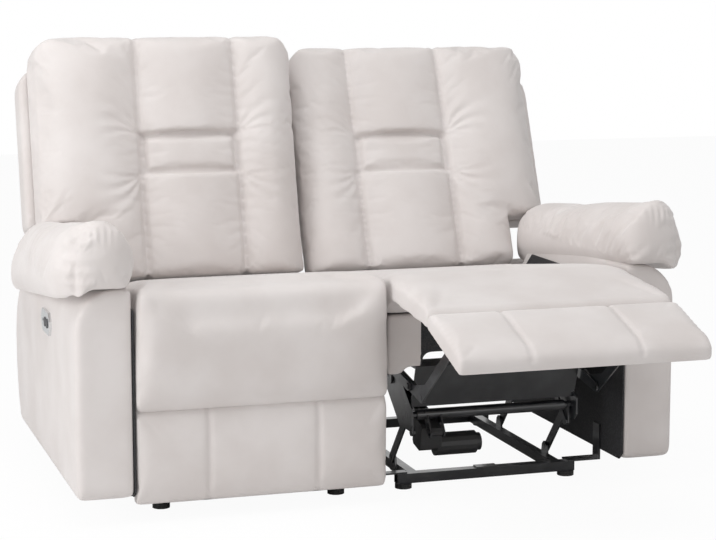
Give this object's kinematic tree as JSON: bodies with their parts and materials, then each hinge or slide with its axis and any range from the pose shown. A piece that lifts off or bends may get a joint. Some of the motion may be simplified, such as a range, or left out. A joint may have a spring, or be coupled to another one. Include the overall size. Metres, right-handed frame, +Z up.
{
  "type": "reclining sofa",
  "caption": "Two-seat power reclining sofa with pillow-top arms, tufted backs, fold-out footrests on a steel link mechanism, and button panels on the arms",
  "frame": {"origin": "middle of the footprint at rest, on the floor", "axes": "+X across the sofa to the open right seat, +Z up, front faces -Y"},
  "size_m": [1.488, 1.4327, 1.0244],
  "materials": {
    "upholstery": "pale beige-grey velvet, short dense pile",
    "arm_lining": "dark dust-cover cloth over board",
    "black_steel": "glossy black enamel over pressed steel",
    "black_plastic": "matt black moulded plastic",
    "glide_plastic": "black plastic, lightly scuffed",
    "spring_steel": "drawn spring wire",
    "plywood": "birch plywood",
    "panel_chrome": "satin chromed moulding",
    "button_plastic": "dark glossy button"
  },
  "bodies": {
    "root": {"left_base_frame": "black_steel", "left_base_glides": "glide_plastic", "left_arm_body": "upholstery", "left_arm_lining": "arm_lining", "left_arm_pad": "upholstery", "left_control_bezel": "panel_chrome", "right_base_frame": "black_steel", "right_base_glides": "glide_plastic", "right_arm_body": "upholstery", "right_arm_lining": "arm_lining", "right_arm_pad": "upholstery", "right_control_bezel": "panel_chrome", "arm_brackets": "black_steel", "centre_connectors": "black_steel"},
    "left_front_lift": {"left_front_lift_links": "black_steel"},
    "left_rear_lift": {"left_rear_lift_links": "black_steel"},
    "left_seat": {"left_seat_side_plates": "black_steel", "left_seat_frame": "upholstery", "left_seat_springs": "spring_steel", "left_seat_cushion": "upholstery", "left_actuator_block": "black_plastic"},
    "left_back": {"left_back_frame": "upholstery", "left_back_cushion": "upholstery", "left_back_brackets": "black_steel"},
    "left_flap": {"left_chaise_pad": "upholstery"},
    "left_footrest": {"left_footrest_board": "plywood", "left_footrest_pad": "upholstery", "left_footrest_brackets": "black_steel"},
    "left_rear_ottoman": {"left_rear_ottoman_links": "black_steel"},
    "left_upper_ottoman": {"left_upper_ottoman_links": "black_steel"},
    "left_front_ottoman": {"left_front_ottoman_links": "black_steel"},
    "left_torque": {"left_torque_tube": "black_steel"},
    "left_strap": {"left_drive_straps": "black_steel"},
    "left_drive": {"left_actuator_motor": "black_plastic", "left_actuator_rail": "black_steel"},
    "left_open_button": {"left_open_button": "button_plastic"},
    "left_close_button": {"left_close_button": "button_plastic"},
    "right_front_lift": {"right_front_lift_links": "black_steel"},
    "right_rear_lift": {"right_rear_lift_links": "black_steel"},
    "right_seat": {"right_seat_side_plates": "black_steel", "right_seat_frame": "upholstery", "right_seat_springs": "spring_steel", "right_seat_cushion": "upholstery", "right_actuator_block": "black_plastic"},
    "right_back": {"right_back_frame": "upholstery", "right_back_cushion": "upholstery", "right_back_brackets": "black_steel"},
    "right_flap": {"right_chaise_pad": "upholstery"},
    "right_footrest": {"right_footrest_board": "plywood", "right_footrest_pad": "upholstery", "right_footrest_brackets": "black_steel"},
    "right_rear_ottoman": {"right_rear_ottoman_links": "black_steel"},
    "right_upper_ottoman": {"right_upper_ottoman_links": "black_steel"},
    "right_front_ottoman": {"right_front_ottoman_links": "black_steel"},
    "right_torque": {"right_torque_tube": "black_steel"},
    "right_strap": {"right_drive_straps": "black_steel"},
    "right_drive": {"right_actuator_motor": "black_plastic", "right_actuator_rail": "black_steel"},
    "right_open_button": {"right_open_button": "button_plastic"},
    "right_close_button": {"right_close_button": "button_plastic"}
  },
  "joints": [
    {"name": "left_recline", "type": "hinge", "parent": "root", "child": "left_front_lift", "pos_m": [-0.286, -0.034, 0.046], "axis": [1, 0, 0], "range_deg": [0, 10.8]},
    {"name": "left_seat_level", "type": "hinge", "parent": "left_front_lift", "child": "left_seat", "pos_m": [-0.286, -0.13254, 0.17078], "axis": [1, 0, 0], "range_deg": [-10.8, 0]},
    {"name": "left_rear_lift_turn", "type": "hinge", "parent": "root", "child": "left_rear_lift", "pos_m": [-0.286, 0.266, 0.046], "axis": [1, 0, 0], "range_deg": [0, 10.8]},
    {"name": "left_back_tilt", "type": "hinge", "parent": "left_seat", "child": "left_back", "pos_m": [-0.286, 0.366, 0.345], "axis": [-1, 0, 0], "range_deg": [0, 27]},
    {"name": "left_footrest_open", "type": "hinge", "parent": "left_seat", "child": "left_flap", "pos_m": [-0.286, -0.267, 0.488], "axis": [-1, 0, 0], "range_deg": [0, 93.65]},
    {"name": "left_board_turn", "type": "hinge", "parent": "left_flap", "child": "left_footrest", "pos_m": [-0.286, -0.249, 0.247], "axis": [-1, 0, 0], "range_deg": [-17.69, 0]},
    {"name": "left_rear_ottoman_turn", "type": "hinge", "parent": "left_seat", "child": "left_rear_ottoman", "pos_m": [-0.286, -0.049, 0.287], "axis": [-1, 0, 0], "range_deg": [0, 102.35]},
    {"name": "left_upper_ottoman_turn", "type": "hinge", "parent": "left_rear_ottoman", "child": "left_upper_ottoman", "pos_m": [-0.286, 0.01597, 0.0622], "axis": [-1, 0, 0], "range_deg": [-104.55, 0]},
    {"name": "left_front_ottoman_turn", "type": "hinge", "parent": "left_seat", "child": "left_front_ottoman", "pos_m": [-0.286, 0.02601, 0.297], "axis": [-1, 0, 0], "range_deg": [0, 103.06]},
    {"name": "left_torque_turn", "type": "hinge", "parent": "left_seat", "child": "left_torque", "pos_m": [-0.286, -0.155, 0.183], "axis": [-1, 0, 0], "range_deg": [0, 102.35]},
    {"name": "left_strap_turn", "type": "hinge", "parent": "left_rear_ottoman", "child": "left_strap", "pos_m": [-0.286, -0.00923, 0.29126], "axis": [-1, 0, 0], "range_deg": [-102.35, 0]},
    {"name": "left_drive_slide", "type": "slide", "parent": "left_seat", "child": "left_drive", "axis": [0, -0.98, -0.1992], "range_m": [0, 0.07112]},
    {"name": "left_open_press", "type": "slide", "parent": "root", "child": "left_open_button", "axis": [1, 0, 0], "range_m": [0, 0.002], "stiffness_N_per_m": 900, "springref_m": -0.001},
    {"name": "left_close_press", "type": "slide", "parent": "root", "child": "left_close_button", "axis": [1, 0, 0], "range_m": [0, 0.002], "stiffness_N_per_m": 900, "springref_m": -0.001},
    {"name": "right_recline", "type": "hinge", "parent": "root", "child": "right_front_lift", "pos_m": [0.286, -0.034, 0.046], "axis": [1, 0, 0], "range_deg": [-3.4, 7.4]},
    {"name": "right_seat_level", "type": "hinge", "parent": "right_front_lift", "child": "right_seat", "pos_m": [0.286, -0.13977, 0.16472], "axis": [1, 0, 0], "range_deg": [-7.4, 3.4]},
    {"name": "right_rear_lift_turn", "type": "hinge", "parent": "root", "child": "right_rear_lift", "pos_m": [0.286, 0.266, 0.046], "axis": [1, 0, 0], "range_deg": [-3.4, 7.4]},
    {"name": "right_back_tilt", "type": "hinge", "parent": "right_seat", "child": "right_back", "pos_m": [0.286, 0.35877, 0.33894], "axis": [-1, 0, 0], "range_deg": [-8.5, 18.5]},
    {"name": "right_footrest_open", "type": "hinge", "parent": "right_seat", "child": "right_flap", "pos_m": [0.286, -0.27423, 0.48194], "axis": [-1, 0, 0], "range_deg": [-88.77, 4.88]},
    {"name": "right_board_turn", "type": "hinge", "parent": "right_flap", "child": "right_footrest", "pos_m": [0.286, -0.51479, 0.45877], "axis": [-1, 0, 0], "range_deg": [-0.92, 16.77]},
    {"name": "right_rear_ottoman_turn", "type": "hinge", "parent": "right_seat", "child": "right_rear_ottoman", "pos_m": [0.286, -0.05623, 0.28094], "axis": [-1, 0, 0], "range_deg": [-97.02, 5.34]},
    {"name": "right_upper_ottoman_turn", "type": "hinge", "parent": "right_rear_ottoman", "child": "right_upper_ottoman", "pos_m": [0.286, -0.28728, 0.24391], "axis": [-1, 0, 0], "range_deg": [-5.45, 99.1]},
    {"name": "right_front_ottoman_turn", "type": "hinge", "parent": "right_seat", "child": "right_front_ottoman", "pos_m": [0.286, 0.01878, 0.29094], "axis": [-1, 0, 0], "range_deg": [-97.69, 5.37]},
    {"name": "right_torque_turn", "type": "hinge", "parent": "right_seat", "child": "right_torque", "pos_m": [0.286, -0.16223, 0.17694], "axis": [-1, 0, 0], "range_deg": [-97.02, 5.34]},
    {"name": "right_strap_turn", "type": "hinge", "parent": "right_rear_ottoman", "child": "right_strap", "pos_m": [0.286, -0.05685, 0.24094], "axis": [-1, 0, 0], "range_deg": [-5.34, 97.02]},
    {"name": "right_drive_slide", "type": "slide", "parent": "right_seat", "child": "right_drive", "axis": [0, -0.98, -0.1992], "range_m": [-0.06742, 0.00371]},
    {"name": "right_open_press", "type": "slide", "parent": "root", "child": "right_open_button", "axis": [-1, 0, 0], "range_m": [0, 0.002], "stiffness_N_per_m": 900, "springref_m": -0.001},
    {"name": "right_close_press", "type": "slide", "parent": "root", "child": "right_close_button", "axis": [-1, 0, 0], "range_m": [0, 0.002], "stiffness_N_per_m": 900, "springref_m": -0.001}
  ],
  "couplings": [
    {"joint": "left_seat_level", "follows": "left_recline", "ratio": -1},
    {"joint": "left_rear_lift_turn", "follows": "left_recline", "ratio": 1},
    {"joint": "left_back_tilt", "follows": "left_recline", "ratio": 2.5},
    {"joint": "left_board_turn", "follows": "left_footrest_open", "ratio": -0.18893},
    {"joint": "left_rear_ottoman_turn", "follows": "left_footrest_open", "ratio": 1.0929},
    {"joint": "left_upper_ottoman_turn", "follows": "left_footrest_open", "ratio": -1.1163},
    {"joint": "left_front_ottoman_turn", "follows": "left_footrest_open", "ratio": 1.1004},
    {"joint": "left_torque_turn", "follows": "left_footrest_open", "ratio": 1.0929},
    {"joint": "left_strap_turn", "follows": "left_footrest_open", "ratio": -1.0929},
    {"joint": "left_drive_slide", "follows": "left_footrest_open", "m_per_rad": 0.043512},
    {"joint": "right_seat_level", "follows": "right_recline", "ratio": -1},
    {"joint": "right_rear_lift_turn", "follows": "right_recline", "ratio": 1},
    {"joint": "right_back_tilt", "follows": "right_recline", "ratio": 2.5},
    {"joint": "right_board_turn", "follows": "right_footrest_open", "ratio": -0.18893},
    {"joint": "right_rear_ottoman_turn", "follows": "right_footrest_open", "ratio": 1.0929},
    {"joint": "right_upper_ottoman_turn", "follows": "right_footrest_open", "ratio": -1.1163},
    {"joint": "right_front_ottoman_turn", "follows": "right_footrest_open", "ratio": 1.1004},
    {"joint": "right_torque_turn", "follows": "right_footrest_open", "ratio": 1.0929},
    {"joint": "right_strap_turn", "follows": "right_footrest_open", "ratio": -1.0929},
    {"joint": "right_drive_slide", "follows": "right_footrest_open", "m_per_rad": 0.043512}
  ]
}
